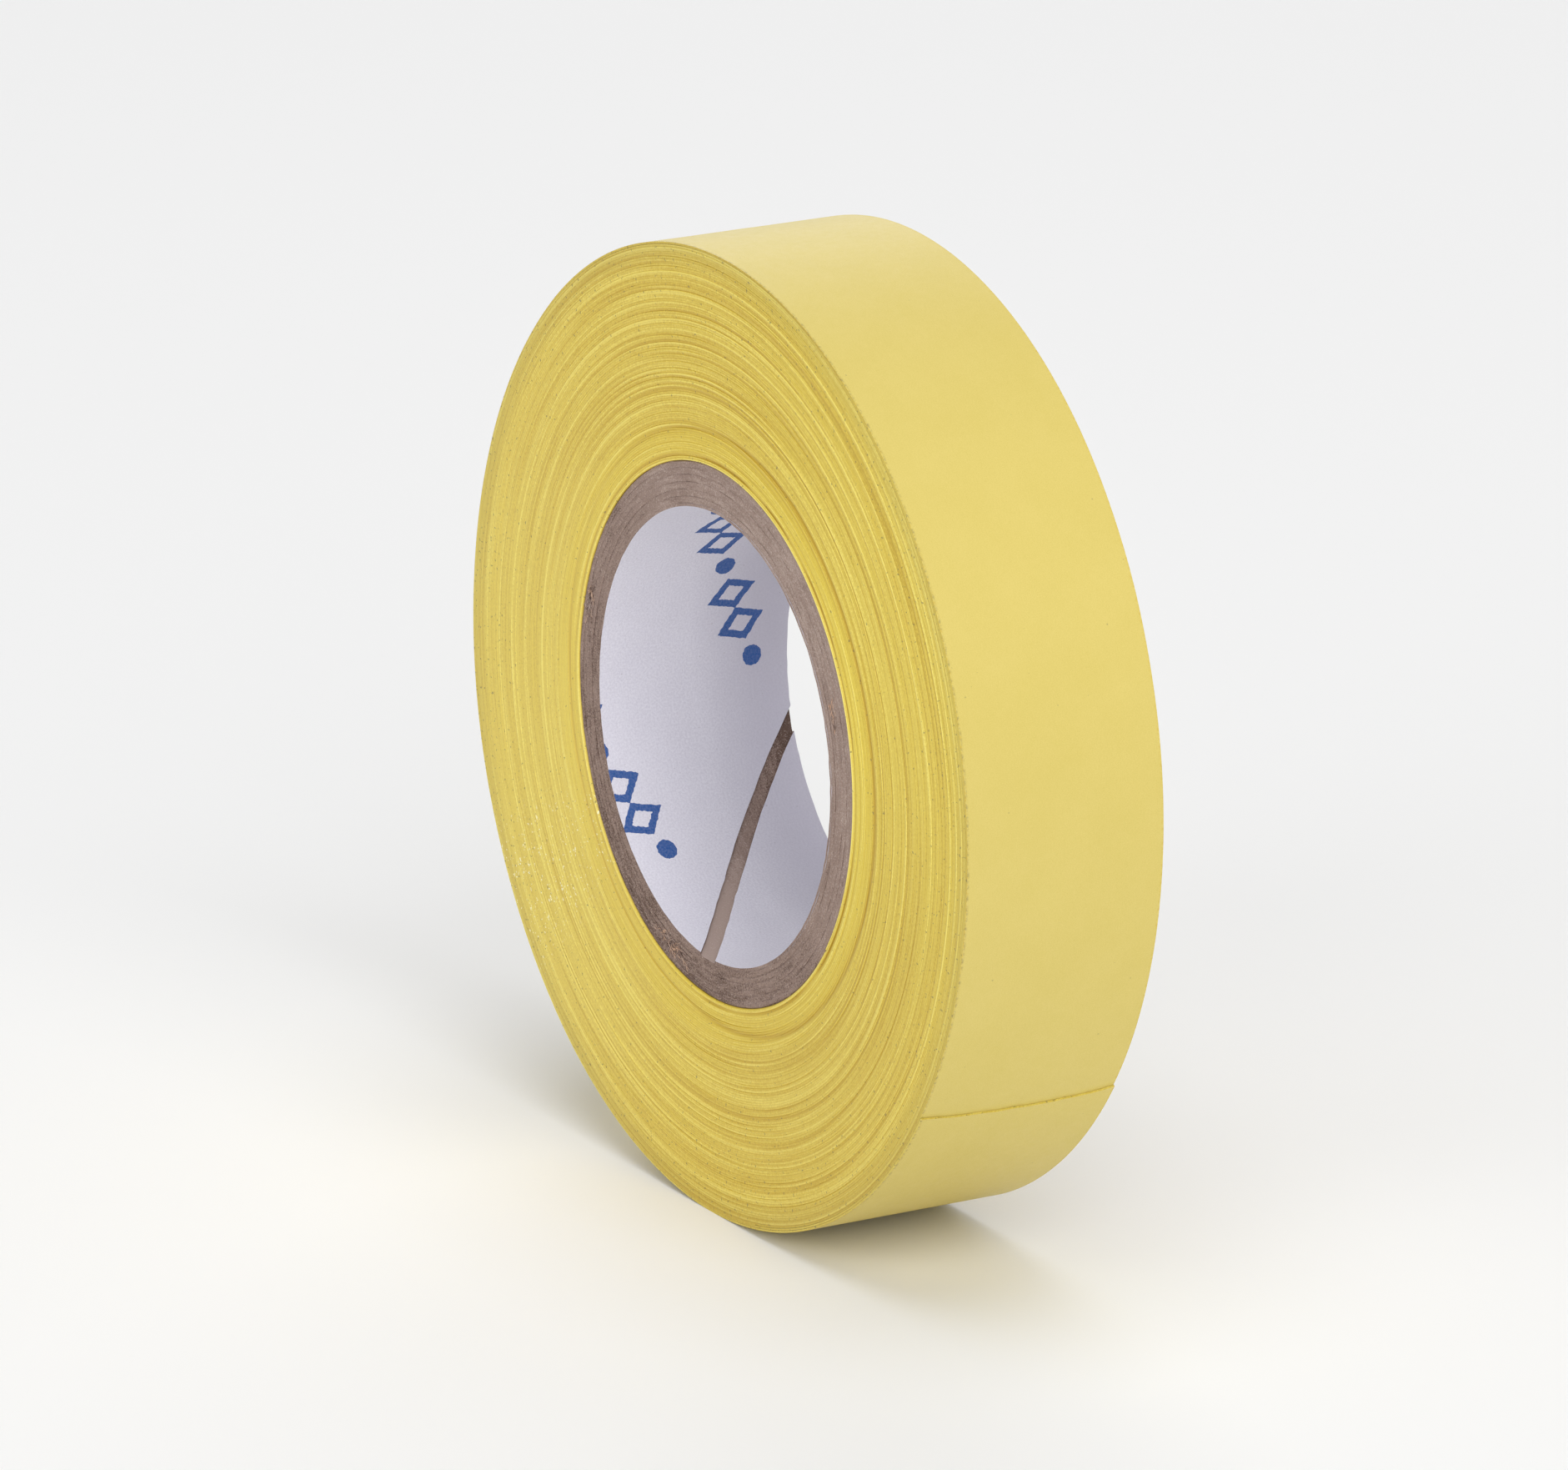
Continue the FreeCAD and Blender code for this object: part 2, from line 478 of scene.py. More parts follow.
def edge_wear_and_sheen(tree, colour, reach, grain):
    """A painted sheen, the grime of handling, dirt specks, and painted glints on one patch."""
    place = add(tree, "TexCoord").outputs["Object"]
    radius = polar(tree)[1]
    # Painted sheen: the side of the roll at this angle is drawn paler, in the colour of glue.
    painted_sheen = between(tree, facing(tree, SHEEN_ANGLE), 0.2, 1.0)
    colour = tint(tree, colour, GLUE, painted_sheen, SHEEN_STRENGTH)
    rim = between(tree, radius, 25.2 * MM, 27.2 * MM)
    handled = times(tree, rim, plus(tree, grain, reach))
    colour = tint(tree, colour, DIRT, handled, HANDLED_STRENGTH)
    grimy = times(tree, between(tree, facing(tree, GRIME_ANGLE), 0.45, 1.0), grain)
    colour = tint(tree, colour, DIRT, grimy, GRIME_STRENGTH)
    outer = between(tree, radius, 19.0 * MM, 27.0 * MM)
    dirt = plus(tree, noise(tree, place, scale=4300.0, detail=1.0), times(tree, outer, 0.035))
    colour = tint(tree, colour, DIRT, between(tree, dirt, 0.685, 0.745), DIRT_STRENGTH)
    # Painted glints: tiny bright specks of reflected light on one patch.
    glint_patch = between(tree, facing(tree, GLINT_ANGLE), 0.978, 0.998)
    glints = between(tree, noise(tree, place, scale=5200.0, detail=1.0), 0.665, 0.73)
    return tint(tree, colour, GLINT, times(tree, glints, glint_patch), GLINT_STRENGTH)


def tape_edge_material():
    """The edges of the wound turns: paper cut by a slitting knife, with a painted sheen and painted glints."""
    material, tree, shader = start_material("tape_edge", 0.55)
    fine, broad, reach, grain = edge_noises(tree)
    colour = edge_paper(tree, fine, broad, reach, grain)
    colour = edge_wear_and_sheen(tree, colour, reach, grain)
    tree.links.new(colour, shader.inputs["Base Color"])
    roughness = plus(tree, times(tree, grain, 0.3), 0.38)
    tree.links.new(roughness, shader.inputs["Roughness"])
    bump(tree, shader, plus(tree, grain, fine), distance=0.006 * MM, strength=0.5)
    return material


EDGE_WEAR = 0.22  # how far in from its edges the tape's face is worn
EDGE_GRIME = 0.04  # how far in the near edge is at its dirtiest


def tape_face_material(name, light, deep, roughness):
    """The flat side of the tape. The coordinates run along the strip, so they bend with it."""
    material, tree, shader = start_material(name, roughness)
    shader.inputs["Specular IOR Level"].default_value = 0.62
    strip = attribute(tree, "strip", "Vector")
    drawn_out = stretched(tree, strip, 3.0, 14.0, 1.0)
    cloud = noise(tree, strip, scale=0.35, detail=3.0)
    mottle = noise(tree, strip, scale=2.2, detail=3.0, roughness=0.6)
    fibres = noise(tree, drawn_out, scale=1.0, detail=3.0, roughness=0.6)
    grain = noise(tree, strip, scale=14.0, detail=3.0, roughness=0.65)
    tone = weighted(tree, (cloud, 0.25), (mottle, 0.15), (fibres, 0.25), (grain, 0.90))
    colour = mix(tree, between(tree, tone, 0.50, 1.05), light, deep)
    specks = between(tree, noise(tree, strip, scale=4.2, detail=0.0), 0.872, 0.895)
    colour = tint(tree, colour, DIRT, specks, SPECK_STRENGTH)
    across = add(tree, "SeparateXYZ", {0: strip}).outputs["Y"]
    worn = between(tree, calc(tree, "ABSOLUTE", across), HALF_WIDTH - EDGE_WEAR, HALF_WIDTH)
    patchy = between(tree, noise(tree, strip, scale=4.0, detail=3.0, roughness=0.7), 0.42, 0.68)
    colour = tint(tree, colour, OCHRE, worn, patchy)
    rim = between(tree, across, -HALF_WIDTH + EDGE_WEAR, -HALF_WIDTH + EDGE_GRIME)
    spots = between(tree, noise(tree, strip, scale=3.0, detail=3.0, roughness=0.7), 0.44, 0.66)
    colour = tint(tree, colour, DIRT, times(tree, rim, spots), DIRT_STRENGTH)
    tree.links.new(colour, shader.inputs["Base Color"])
    shine = plus(tree, times(tree, mottle, 0.16), roughness - 0.08)
    tree.links.new(shine, shader.inputs["Roughness"])
    height = plus(tree, times(tree, grain, 0.6), fibres)
    bump(tree, shader, height, distance=0.004 * MM, strength=0.5)
    return material


KRAFT_LIT_ANGLE = 58.0  # painted light: the board is drawn a little lighter on this side of the core
PALE_FIBRE_STRENGTH = 0.5


def kraft_material():
    """Grey-brown paperboard with fibres that lie round the core, with painted light on one side and painted shade
    down the bore.
    """
    material, tree, shader = start_material("core_kraft", 0.85)
    shader.inputs["Specular IOR Level"].default_value = 0.25
    place = add(tree, "TexCoord").outputs["Object"]
    layers = noise(tree, round_axis(tree, 8.0, 4200.0), scale=1.0, detail=2.0, roughness=0.6)
    fibres = noise(tree, round_axis(tree, 110.0, 12000.0), scale=1.0, detail=3.0, roughness=0.7)
    speckle = noise(tree, place, scale=12000.0, detail=2.0, roughness=0.65)
    cloud = noise(tree, place, scale=260.0, detail=2.0)
    # Painted light: the board is a little lighter on one side.
    side = facing(tree, KRAFT_LIT_ANGLE)
    tone = weighted(
        tree, (layers, 0.22), (fibres, 0.34), (speckle, 0.26), (cloud, 0.18), (side, 0.065))
    # Painted shade: the kraft in the bore is lighter at its near end and darker at its far end. Only the faces
    # that look along the bore's radius take it, not the core's end.
    normal = add(tree, "NewGeometry").outputs["Normal"]
    endwise = calc(tree, "ABSOLUTE", add(tree, "SeparateXYZ", {0: normal}).outputs["Y"])
    in_bore = calc(tree, "LESS_THAN", endwise, 0.5)
    tone = plus(tree, tone, times(tree, attribute(tree, "fade"), in_bore))
    colour = mix(tree, between(tree, tone, 0.36, 0.50), KRAFT_DARK, KRAFT)
    colour = mix(tree, between(tree, tone, 0.50, 0.64), colour, KRAFT_LIGHT)
    pale = between(tree, speckle, 0.60, 0.70)
    colour = tint(tree, colour, KRAFT_PALE, pale, PALE_FIBRE_STRENGTH)
    tree.links.new(colour, shader.inputs["Base Color"])
    height = plus(tree, fibres, times(tree, speckle, 0.7))
    bump(tree, shader, height, distance=0.03 * MM, strength=0.8)
    return material


def fibre_material():
    material, tree, shader = start_material("core_fibre", 0.8)
    place = add(tree, "TexCoord").outputs["Object"]
    tone = between(tree, noise(tree, place, scale=1400.0, detail=2.0), 0.35, 0.65)
    tree.links.new(mix(tree, tone, KRAFT_LIGHT, FIBRE), shader.inputs["Base Color"])
    return material


# The printed rows, in millimetres on the unrolled liner
PRINT_SLANT = 22.5  # degrees
PRINT_LINE = -11.8  # how far the first row's middle lies from the origin, across the rows
PRINT_ROW_SPACING = 10.9
PRINT_ROW_SHIFT = 6.5  # each row starts this much further along than the one before
PRINT_START = 19.5
PRINT_REPEAT = 60.0
MARK_PITCH = 2.2
MARKS_IN_GROUP = 3  # two diamonds and a dot
PRINT_LENGTH = 9 * MARK_PITCH
MARK_REACH = 1.10
MARK_STROKE = 0.52
MARK_FLATNESS = 0.72
DOT_RADIUS = 0.60
INK_WOBBLE = 0.22


def print_places(tree, unrolled):
    """How far a place lies along a printed row, and from the middle of that row."""
    parts = add(tree, "SeparateXYZ", {0: unrolled}).outputs
    cosine, sine = radial(PRINT_SLANT)
    ahead = plus(tree, times(tree, parts["X"], cosine), times(tree, parts["Y"], sine))
    aside = minus(tree, times(tree, parts["Y"], cosine), times(tree, parts["X"], sine))
    aside = minus(tree, aside, PRINT_LINE)
    row = calc(tree, "ROUND", calc(tree, "DIVIDE", aside, PRINT_ROW_SPACING))
    across = minus(tree, aside, times(tree, row, PRINT_ROW_SPACING))
    ahead = plus(tree, ahead, times(tree, row, PRINT_ROW_SHIFT))
    ahead = minus(tree, ahead, PRINT_START)
    return calc(tree, "FLOORED_MODULO", ahead, PRINT_REPEAT), across


def print_mask(tree, unrolled):
    """Generic rows of open diamonds and dots that say nothing."""
    along, across = print_places(tree, unrolled)
    cell = calc(tree, "FLOOR", calc(tree, "DIVIDE", along, MARK_PITCH))
    local = minus(tree, along, times(tree, plus(tree, cell, 0.5), MARK_PITCH))
    wobble = minus(tree, noise(tree, unrolled, scale=4.0, detail=2.0), 0.5)
    wobble = times(tree, wobble, INK_WOBBLE)
    x = calc(tree, "ABSOLUTE", local)
    y = calc(tree, "ABSOLUTE", across)
    reach = plus(tree, plus(tree, x, times(tree, y, MARK_FLATNESS)), wobble)
    inside = calc(tree, "LESS_THAN", reach, MARK_REACH)
    diamond = times(tree, inside, calc(tree, "GREATER_THAN", reach, MARK_REACH - MARK_STROKE))
    distance = calc(tree, "SQRT", plus(tree, times(tree, x, x), times(tree, y, y)))
    dot = calc(tree, "LESS_THAN", plus(tree, distance, wobble), DOT_RADIUS)
    kind = calc(tree, "MODULO", cell, float(MARKS_IN_GROUP))
    is_dot = calc(tree, "GREATER_THAN", kind, MARKS_IN_GROUP - 1.5)
    shape = add(tree, "Mix", {0: is_dot, 2: diamond, 3: dot}).outputs[0]
    return times(tree, shape, calc(tree, "LESS_THAN", along, PRINT_LENGTH))


LINER_LIT_ANGLE = -130.0  # painted shade: the liner is lighter on this side, and darker opposite
LINER_SHADE_FROM = -2.0  # painted shade darkens the liner from this y
LINER_SHADE_TO = 5.5  # to this one


def liner_material():
    material, tree, shader = start_material("core_liner", 0.6)
    shader.inputs["Specular IOR Level"].default_value = 0.35
    strip = attribute(tree, "strip", "Vector")
    cloud = noise(tree, strip, scale=0.5, detail=3.0)
    grain = noise(tree, strip, scale=8.0, detail=3.0, roughness=0.65)
    lumps = noise(tree, strip, scale=1.6, detail=2.0)
    tone = weighted(tree, (cloud, 0.12), (grain, 0.88))
    colour = mix(tree, between(tree, tone, 0.28, 0.72), PAPER, PAPER_SHADE)
    along = add(tree, "SeparateXYZ", {0: strip}).outputs["Y"]
    # Painted shade: darker towards the bore's far end and away from the lit side.
    deep = times(tree, between(tree, along, LINER_SHADE_FROM, LINER_SHADE_TO), 0.78)
    deep = minus(tree, deep, times(tree, facing(tree, LINER_LIT_ANGLE), 0.20))
    colour = mix(tree, plus(tree, deep, 0.02, clamp=True), colour, PAPER_IN_SHADE)
    specks = between(tree, noise(tree, strip, scale=6.0, detail=1.0), 0.755, 0.80)
    colour = tint(tree, colour, KRAFT_DARK, specks, SPECK_STRENGTH)
    cover = plus(tree, times(tree, grain, 0.35), 0.78, clamp=True)
    colour = mix(tree, times(tree, print_mask(tree, strip), cover), colour, INK)
    tree.links.new(colour, shader.inputs["Base Color"])
    height = plus(tree, times(tree, lumps, 0.5), times(tree, grain, 0.4))
    bump(tree, shader, height, distance=0.004 * MM, strength=0.3)
    return material


FLOOR_GREY = 0.90


def floor_material():
    material, _, shader = start_material("floor", 0.9)
    shader.inputs["Base Color"].default_value = (FLOOR_GREY, FLOOR_GREY, FLOOR_GREY, 1)
    shader.inputs["Specular IOR Level"].default_value = 0.1
    return material


EDGE = tape_edge_material()
FACE = tape_face_material("tape_face", TREAD, TREAD_DEEP, 0.50)
UNDERSIDE = tape_face_material("tape_adhesive", GLUE, TREAD, 0.30)
KRAFT_BOARD = kraft_material()
LOOSE_FIBRE = fibre_material()
LINER_PAPER = liner_material()


# ---------------------------------------------------------------- the wound turns

# A faint darker line winds through the inner turns: a shallow groove, made darker with painted shade. Its radius
# at a few angles round the roll.
SEAM_ANGLES = (-180, -100, -60, -10, 60, 110, 150, 180)
SEAM_RADII = (16.2, 16.2, 16.9, 17.5, 17.5, 16.9, 16.5, 16.2)
SEAM_STRENGTHS = (0.9, 0.8, 0.8, 1.0, 0.9, 0.5, 0.3, 0.9)
SEAM_WIDTH = 0.14
SEAM_SHADOW = 0.36  # how far inside the line its soft shadow lies, and how wide that is

# Three lines lie beside the core, this far out from it: a painted highlight on the proud first turns, a painted
# shadow and a pale line
HIGHLIGHT_LINE = 0.16
SHADOW_LINE = 0.40
SECOND_LINE = 0.66
CORE_LINE_WIDTH = 0.09
LIT_SIDE_ANGLE = 40  # where those lines are at their clearest, on the lit side
LIT_CONTRAST_ANGLE = 45  # where the turns differ the most from each other: painted relief shading, strongest on the lit side

# Lengths of tape over which the shades of the turns change, as running angles
SINGLE_LENGTH = 83
QUICK_LENGTH = 29
TILT_LENGTH = 31
FURROW_LENGTH = 23
LATTICE = 9000  # knots in the lattice of those shades, enough for all the turns

MEAN_RECESS = 0.026  # how far the turns' edges sit inside the roll's side, on average
DEEPEST_RECESS = 0.12


def bell(offset, middle, width):
    """1 at the middle, with a smooth fall to 0 on both sides."""
    return np.exp(-(((offset - middle) / width) ** 2))


def turn_shades(running, radius, angle, seed):
    """The shade of each turn, which differs from its neighbours, and how dull the dark ones are."""
    round_share = angle / TURN
    single = field(seed, LATTICE)(running / SINGLE_LENGTH)
    quick = field(seed + 1, LATTICE)(running / QUICK_LENGTH)
    groups = field(seed + 2, 60, 7)(radius / 0.55, round_share * 7)
    drift = field(seed + 3, 20, 4)(radius / 2.1, round_share * 4)
    # Painted relief shading: the turns' random shades are drawn stronger towards the lit side.
    contrast = 0.95 + 0.25 * np.clip(np.cos(np.radians(angle - LIT_CONTRAST_ANGLE)), -0.3, 1)
    upright = np.sin(np.radians(angle)) ** 2
    single = single * (1 + 0.5 * upright)
    quick = quick * (1 + 0.9 * upright)
    pale = np.clip(single - 0.75, 0, 1.2)
    dull = np.clip(-0.95 - single, 0, 1.2)
    streak = 0.40 * single + 0.30 * quick + 0.24 * groups + 0.16 * drift + 1.9 * pale - 1.5 * dull
    return streak * contrast, dull


def turn_relief(running, radius, angle, seed):
    """How far each turn's edge sits inside the roll's side, its shade, and how much painted shade its grooves
    take.
    """
    streak, dull = turn_shades(running, radius, angle, seed)
    wrapped = (angle + TURN / 2) % TURN - TURN / 2
    seam = np.interp(wrapped, SEAM_ANGLES, SEAM_RADII)
    strength = np.interp(wrapped, SEAM_ANGLES, SEAM_STRENGTHS)
    line = bell(radius - seam, 0.0, SEAM_WIDTH) * strength
    under = bell(radius - seam, -SEAM_SHADOW, SEAM_SHADOW) * strength
    calm = 1 - 0.30 * step_between(-radius, -17.5, -16.6)
    broken = 0.6 + 0.4 * np.clip(field(seed + 4, 40)(angle / TURN * 40), -1, 1)
    # The first line is a painted highlight and the shadow line a painted shadow, both clearest on the lit side.
    first = bell(radius - CORE_RADIUS, HIGHLIGHT_LINE, CORE_LINE_WIDTH)
    shadow = bell(radius - CORE_RADIUS, SHADOW_LINE, CORE_LINE_WIDTH) * broken
    second = bell(radius - CORE_RADIUS, SECOND_LINE, CORE_LINE_WIDTH) * broken
    sharp = np.clip(np.cos(np.radians(angle - LIT_SIDE_ANGLE)), 0, 1)
    first = first * (1 + 0.9 * sharp)
    # The seam and its soft shadow are painted darker here.
    streak = streak * calm - 3.0 * line - 2.4 * under + 3.0 * first - 5.2 * shadow + 3.2 * second
    recess = MEAN_RECESS - 0.0045 * streak + 0.045 * line + 0.03 * shadow
    # Painted shade in the seam's groove, along the shadow line and in the dull turns, and more of it on the lit
    # side.
    groove_shade = 2.0 * line + (2.0 + 1.2 * sharp) * shadow + 0.6 * sharp * dull
    return np.clip(recess, 0.0, DEEPEST_RECESS), streak, groove_shade


# How far the edges of a ring's first and last turns reach, as shares of the tape's thickness
UNDERLAP = -0.15
TOP_ROW = 0.97

CREVICE_SHADE = 6.0  # painted shade: how much darker the crevice beside the core is drawn
ROW_CRESTS = (0.0, 1.0, 1.0)  # the innermost row of each turn's edge lies in a furrow, where painted shade darkens it
ROW_LIMIT = 0.2


def side_rows(running, outer, on_core, side, seed):
    """One side of a ring of turns: the y, shade and crest of every row of the turns' edges."""
    recess, streak, groove_shade = turn_relief(running, outer, place_angle(running), seed)
    tilt = field(seed + 9, LATTICE)(running / TILT_LENGTH) * 0.004
    furrow = 0.012 + 0.008 * np.abs(field(seed + 10, LATTICE)(running / FURROW_LENGTH))
    rows = np.stack([recess + furrow, recess + tilt, recess - tilt], axis=1)
    rows[on_core] += INNERMOST_RELIEF
    shades = np.repeat(streak[:, None], len(CREST_SHARES), axis=1)
    shades[on_core, 0] -= CREVICE_SHADE
    crests = np.array(ROW_CRESTS) - groove_shade[:, None]
    return side * (HALF_WIDTH - np.clip(rows, 0, ROW_LIMIT)), shades, crests


def wound_band(name, start, stop, seed):
    """A ring of wound turns, with the relief of their edges on both sides of the roll."""
    step = TURN / STEPS_PER_TURN
    running = np.arange(round(start / step), round(stop / step) + 1) * step
    count = len(running)
    outer = turn_radius(running)
    on_core = running < running_angle_at(CORE_RADIUS + TAPE_THICKNESS) + TURN
    inner = np.where(on_core, CORE_RADIUS + SEAT, outer - TAPE_THICKNESS)
    shares = np.tile(CREST_SHARES, (count, 1))
    if not on_core[0]:
        shares[:STEPS_PER_TURN, 0] = UNDERLAP
    shares[-STEPS_PER_TURN:, -1] = TOP_ROW
    radius = inner[:, None] + (outer - inner)[:, None] * shares
    angle = np.repeat(place_angle(running)[:, None], len(CREST_SHARES), axis=1)
    sides, streaks, crests = [], [], []
    for side, side_seed in ((-1, seed), (1, seed + 50)):
        y, shades, side_crests = side_rows(running, outer, on_core, side, side_seed)
        sides.append(cylinder_points(radius, angle, y))
        streaks.append(shades)
        crests.append(side_crests)
    index = np.arange(2 * radius.size).reshape(2, *radius.shape)
    glow = 1 - step_between(radius, 16.9, 17.7)
    attributes = {
        "streak": np.stack(streaks).ravel(),
        "crest": np.stack(crests).ravel(),
        "inner": np.broadcast_to(glow, index.shape).ravel(),
    }
    piece = make_piece(
        name, np.stack(sides), band_faces(index), [EDGE], attributes=attributes, sharp=70.0)
    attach(piece, "roll")
    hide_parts("tape_pack")
    return piece


def band_faces(index):
    """The two spiral faces of a ring of turns, and the walls that close it inside and outside."""
    lap = STEPS_PER_TURN
    faces = []
    for side in (0, 1):
        grid = index[side]
        cells = [
            np.stack([grid[:-1, a], grid[:-1, a + 1], grid[1:, a + 1], grid[1:, a]], axis=-1)
            for a in (0, 1)
        ]
        cells.append(np.stack(
            [grid[:-1 - lap, 2], grid[lap:-1, 0], grid[lap + 1:, 0], grid[1:-lap, 2]], axis=-1))
        quads = np.concatenate(cells)
        faces.append(quads if side == 1 else quads[:, ::-1])
    # Each wall follows the spiral for one turn and then steps across the turn that it ends in.
    walls = []
    inner_path = [(i, 0) for i in range(lap + 1)] + [(0, 2), (0, 1), (0, 0)]
    last = index.shape[1] - 1
    outer_path = [(i, 2) for i in range(last - lap, last + 1)] + [(last, 1), (last, 0), (last - lap, 2)]
    for path, outward in ((inner_path, False), (outer_path, True)):
        near = np.array([index[0][place] for place in path])
        far = np.array([index[1][place] for place in path])
        quads = np.stack([near[:-1], far[:-1], far[1:], near[1:]], axis=-1)
        walls.append(quads if outward else quads[:, ::-1])
    return np.concatenate(faces + walls).tolist()


def wound_turns():
    core = running_angle_at(CORE_RADIUS + TAPE_THICKNESS)
    first = running_angle_at(17.6)
    second = running_angle_at(22.4)
    wound_band("tape_turns_inner", core, first, 11)
    wound_band("tape_turns_middle", first, second, 211)
    wound_band("tape_turns_outer", second, STRIP_FROM, 411)


# ---------------------------------------------------------------- the outer turn and its end

TREAD_WAVES = field(701, 90, 9)
NEAR_SLIT = field(702, 400)
FAR_SLIT = field(703, 400)


def tread_lift(angle, y):
    """The slight waves of the outer surface, which never rise above the roll's radius."""
    return -0.004 * np.clip(1 + TREAD_WAVES(angle / 8, y / 1.7), 0, 2.5)


STRIP_ACROSS = 20  # steps across the tape's width
STRIP_RIM = 1  # rows between the two faces of its edge
SLIT_CORNER = 0.014  # how far the corners of the slit edge are worn back


def slit_edge(running, waver, side):
    """The y of the tape's edge, from its inner corner to its outer one."""
    recess = 0.012 + 0.006 * np.clip(waver(running / 9), -1.5, 1.5)
    rows = np.stack([recess + SLIT_CORNER, recess, recess + SLIT_CORNER], axis=1)
    return side * (HALF_WIDTH - rows)


def tape_strip(name, start, stop, station, cut=None):
    """A length of the outermost tape. cut(y) moves its last edge along the tape."""
    count = max(2, round((stop - start) / station)) + 1
    running = np.linspace(start, stop, count)
    near = slit_edge(running, NEAR_SLIT, -1)
    far = slit_edge(running, FAR_SLIT, 1)
    share = ((running - start) / (stop - start))[:, None]

    def angle_at(y):
        moved = 0.0 if cut is None else cut(y) * share ** 2
        return place_angle(running)[:, None] + moved

    outer = turn_radius(running)[:, None]
    inner = outer - TAPE_THICKNESS + 2 * SEAT
    points, angle, y, depth = sheet_points(
        near, far, STRIP_ACROSS, STRIP_RIM, angle_at, inner, outer, tread_lift)
    faces, parts = sheet_faces(count, STRIP_ACROSS, STRIP_RIM)
    arc = np.radians(angle) * ROLL_RADIUS
    attributes = {
        "strip": np.stack([arc, y, depth], axis=-1).reshape(-1, 3),
        "streak": np.broadcast_to(1.1 * NEAR_SLIT(running / 40)[:, None], y.shape).ravel(),
        "crest": np.ones(y.size),
        "inner": np.zeros(y.size),
    }
    piece = make_piece(name, points, faces, [FACE, EDGE, UNDERSIDE], parts, attributes)
    return piece


def cut_line(y):
    """The end was cut by hand: it bows, and its near corner reaches further. In degrees."""
    bow = -0.55 + 0.022 * (y - 1.4) ** 2 * np.where(y < 1.4, 1.0, 1.6)
    return bow + 0.05 * field(704, 60)(y * 4 + 30)


def on_tape(running):
    """A point in the middle of the tape's thickness, in metres."""
    radius = turn_radius(np.array([running])) - TAPE_THICKNESS / 2
    return Vector(cylinder_points(radius, place_angle(running), 0.0)[0] * MM)


def outer_turn():
    """The visible turn, which lies fast on the roll, and its last stretch, whose tip rides on the last peeling
    body.
    """
    fixed_end = ROOT_AT - HALF_STEP
    piece = tape_strip("tape_outer_turn", STRIP_FROM, fixed_end, STRIP_STEP)
    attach(piece, "roll")
    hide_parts("tape_pack")
    bodies = ["roll"] + peel_bodies
    for index, (before, after) in enumerate(zip(bodies, bodies[1:])):
        start = fixed_end + index * PEEL_STEP
        piece = tape_strip(f"tape_lift_{index}", start, start + PEEL_STEP, PEEL_STATION)
        if index:
            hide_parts(before)
        on_tape(start)
        on_tape(start + PEEL_STEP)
        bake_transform(piece)
    tip = tape_strip("tape_lift_tip", CUT_AT - HALF_STEP, CUT_AT, PEEL_STATION, cut_line)
    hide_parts(peel_bodies[-1])
    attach(tip, peel_bodies[-1])


# ---------------------------------------------------------------- the core

# Counts of mesh steps across a strip, of rows between the faces of its edge, and of stations
PLY_STEPS = (12, 4, 601)
LINER_STEPS = (36, 1, 481)

# Painted shade on the kraft that shows through the liner's gap: its tone half way along, and the change to the end
BORE_PAINTED_SHADE = (0.15, -0.22)
NO_PAINTED_SHADE = (0.0, 0.0)


def helix_angle(middle_angle, y):
    """The angle of a helical gap at a place along the bore."""
    return middle_angle - TURN * y / HELIX_LEAD


def core_sheet(name, radii, middle_angle, gap, steps, relief, materials, ragged=None, fade=NO_PAINTED_SHADE):
    """One strip of the core, wound once round between the two edges of its helical gap.

    The first of its materials is for its faces, and the last for its edges.
    """
    inner_radius, outer_radius = radii
    across, rim, stations = steps
    share = np.linspace(0, 1, stations)[:, None]
    near, far = [side * (CORE_HALF_WIDTH - relief(side, stations, rim)) for side in (-1, 1)]

    def angle_at(y):
        margin = np.degrees(gap(y) / 2 / inner_radius)
        fray = 0.0 if ragged is None else ragged(y, share)
        return helix_angle(middle_angle, y) + margin + fray + share * (TURN - 2 * margin)

    points, angle, y, depth = sheet_points(
        near, far, across, rim, angle_at, inner_radius, outer_radius)
    faces, parts = sheet_faces(stations, across, rim)
    edge_material = len(materials) - 1
    face_materials = [edge_material if part == 1 else 0 for part in parts]
    arc = np.radians(angle) * inner_radius
    attributes = {
        "strip": np.stack([arc, y, depth], axis=-1).reshape(-1, 3),
        "fade": ((fade[0] + fade[1] * y / CORE_HALF_WIDTH) * (depth == 0)).ravel(),
    }
    piece = make_piece(name, points, faces, materials, face_materials, attributes)
    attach(piece, "roll")
    return piece


# Places on the near end where the board has frayed: angle, radius, and size in millimetres
FRAYED = ((-110.0, 14.0, 0.55), (162.0, 14.5, 0.40), (18.0, 13.6, 0.28))
FRAY_DEPTH = 0.16
PLY_FACE_RECESS = 0.022  # a ply's end is worn back at its two faces
CORE_RIM_RECESS = 0.05  # and more at the core's outer edge
DEEPEST_FRAY = 0.35


def frayed_depth(angle, radius, fibres):
    """How much deeper the core's end is in its frayed spots."""
    depth = 0.0
    for spot_angle, spot_radius, size in FRAYED:
        around = ((angle - spot_angle + 180) % TURN - 180) * math.pi / 180 * spot_radius
        away = (around / (2.2 * size)) ** 2 + ((radius - spot_radius) / (0.6 * size)) ** 2
        depth = depth + (FRAY_DEPTH + 0.09 * fibres) * np.exp(-away)
    return depth


